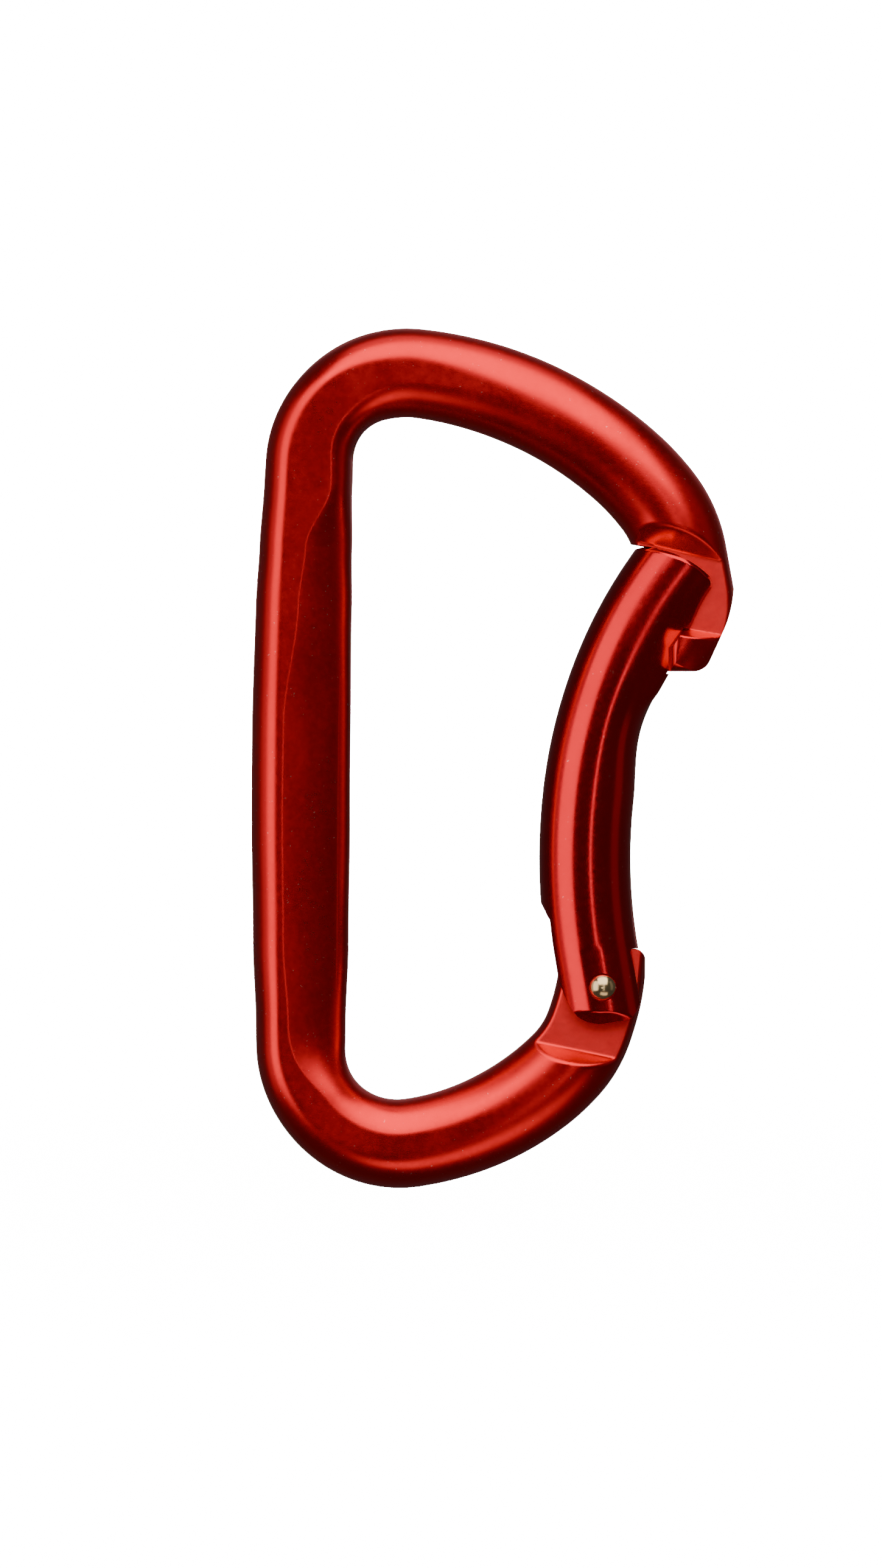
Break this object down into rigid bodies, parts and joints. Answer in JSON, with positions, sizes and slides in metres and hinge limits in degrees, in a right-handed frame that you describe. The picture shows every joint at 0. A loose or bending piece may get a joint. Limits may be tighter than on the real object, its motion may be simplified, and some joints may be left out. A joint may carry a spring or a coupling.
{
  "type": "bent-gate carabiner",
  "caption": "D-shaped climbing carabiner with a bent, sprung gate on a rivet and a hookless keylock nose, in anodised aluminium.",
  "frame": {"origin": "centre of the rope seat in the upper basket, in the middle of the thickness", "axes": "the ring lies in the XZ plane; +Z towards the nose end along the spine, +X from the spine towards the gate, +Y out of the back face"},
  "size_m": [0.0562, 0.012, 0.0999],
  "materials": {
    "anodised_frame": "polished, red anodised",
    "anodised_gate": "polished, red anodised",
    "rivet_metal": "bright, pale gold passivated",
    "spring_steel": "bright drawn wire",
    "rod_steel": "turned"
  },
  "bodies": {
    "frame": {"frame": "anodised_frame"},
    "gate": {"gate": "anodised_gate", "hinge_rivet": "rivet_metal", "gate_spring": "spring_steel"},
    "plunger": {"push_rod": "rod_steel"}
  },
  "joints": [
    {"name": "gate_hinge", "type": "hinge", "parent": "frame", "child": "gate", "pos_m": [0.02395, 0, -0.0614], "axis": [0, -1, 0], "range_deg": [0, 28], "stiffness_Nm_per_rad": 0.2, "springref_deg": -57.3},
    {"name": "plunger_slide", "type": "slide", "parent": "gate", "child": "plunger", "axis": [0, 0, 1], "range_m": [0, 0.0009], "deforming": ["gate_spring"]}
  ],
  "couplings": [
    {"joint": "plunger_slide", "follows": "gate_hinge", "m_per_rad": 0.001762}
  ]
}
